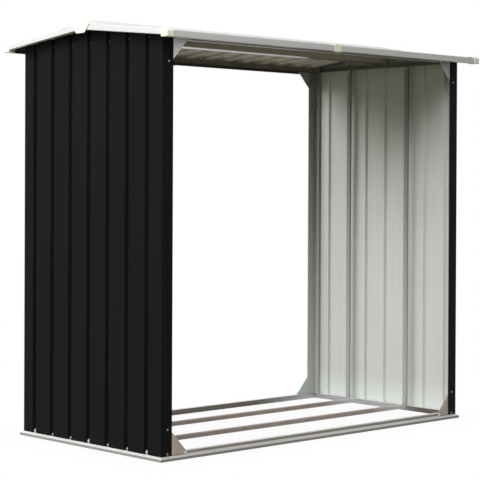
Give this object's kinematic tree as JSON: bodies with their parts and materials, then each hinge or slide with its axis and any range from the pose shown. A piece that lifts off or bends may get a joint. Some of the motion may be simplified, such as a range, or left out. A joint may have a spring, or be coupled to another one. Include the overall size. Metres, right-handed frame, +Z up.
{
  "type": "log store",
  "caption": "Open-fronted and open-backed steel log store: ribbed side walls on a folded base frame, gable roof with white trim, floor bars that keep the logs off the ground.",
  "frame": {"origin": "middle of the base on the ground", "axes": "+X to the right along the open front, +Y from the open front to the open back, +Z up"},
  "size_m": [1.726, 0.988, 1.5909],
  "materials": {
    "wall_paint": "satin anthracite outside, pale primer inside",
    "roof_paint": "satin black outside, pale primer below",
    "trim_paint": "satin white",
    "cap_plastic": "moulded cream plastic",
    "base_zinc": "galvanised",
    "bar_zinc": "galvanised, dull",
    "frame_zinc": "galvanised",
    "plate_zinc": "galvanised"
  },
  "bodies": {
    "root": {"base_rail_front": "base_zinc", "base_rail_back": "base_zinc", "base_rail_left": "base_zinc", "base_rail_right": "base_zinc", "floor_bar_front": "bar_zinc", "floor_bar_back": "bar_zinc", "corner_post_front_left": "frame_zinc", "corner_post_front_right": "frame_zinc", "corner_post_back_left": "frame_zinc", "corner_post_back_right": "frame_zinc", "stud_left_front": "frame_zinc", "stud_left_back": "frame_zinc", "stud_right_front": "frame_zinc", "stud_right_back": "frame_zinc", "top_rail_front": "frame_zinc", "top_rail_back": "frame_zinc", "top_rail_left": "frame_zinc", "top_rail_right": "frame_zinc", "ridge_beam": "frame_zinc", "gussets_front": "plate_zinc", "gussets_back": "plate_zinc", "wall_left": "wall_paint", "wall_right": "wall_paint", "roof_sheet_front": "roof_paint", "roof_sheet_back": "roof_paint", "ridge_cap": "trim_paint", "verge_trim_front_left": "trim_paint", "verge_trim_front_right": "trim_paint", "verge_trim_back_left": "trim_paint", "verge_trim_back_right": "trim_paint", "eave_trim_front_left": "trim_paint", "eave_trim_front_right": "trim_paint", "eave_trim_back_left": "trim_paint", "eave_trim_back_right": "trim_paint", "corner_cap_front_left": "cap_plastic", "corner_cap_front_right": "cap_plastic", "corner_cap_back_left": "cap_plastic", "corner_cap_back_right": "cap_plastic", "eave_clip_front": "cap_plastic", "eave_clip_back": "cap_plastic", "ridge_end_cap_left": "cap_plastic", "ridge_end_cap_right": "cap_plastic"}
  },
  "joints": []
}
